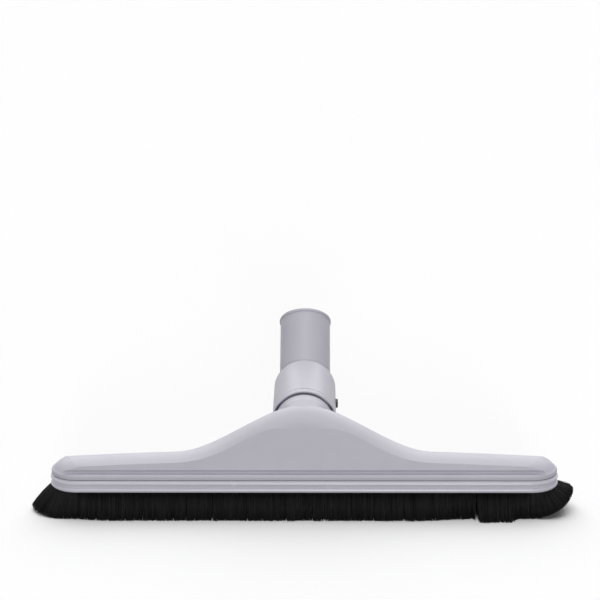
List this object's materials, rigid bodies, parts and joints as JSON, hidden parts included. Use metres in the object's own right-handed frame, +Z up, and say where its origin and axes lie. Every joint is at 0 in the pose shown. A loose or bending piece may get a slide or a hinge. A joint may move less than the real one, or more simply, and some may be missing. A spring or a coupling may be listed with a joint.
{
  "type": "vacuum floor brush head",
  "caption": "Wide vacuum floor brush head: slotted base with a bristle skirt, bell-shaped moulded housing and a bent wand socket that swivels on its neck.",
  "frame": {"origin": "on the floor, at the bristle tips, under the middle of the suction slot", "axes": "+X along the head, +Y towards the neck and the wand, +Z up"},
  "size_m": [0.384, 0.1782, 0.1157],
  "materials": {
    "shell": "satin moulded light grey plastic",
    "frame": "satin moulded light grey plastic",
    "steel": "bright rolled steel",
    "bristle": "black synthetic bristle",
    "pin": "dark plastic"
  },
  "bodies": {
    "head": {"housing": "shell", "base_frame": "frame", "brush_channel": "steel", "core_wire": "steel", "bristles": "bristle", "frame_screws": "steel", "swivel_ring": "shell"},
    "elbow": {"swivel_elbow": "shell", "retaining_pin": "pin"}
  },
  "joints": [
    {"name": "neck_swivel", "type": "hinge", "parent": "head", "child": "elbow", "pos_m": [0, 0.03, 0.0549], "axis": [0, 0.9954, 0.0958], "continuous": true}
  ]
}
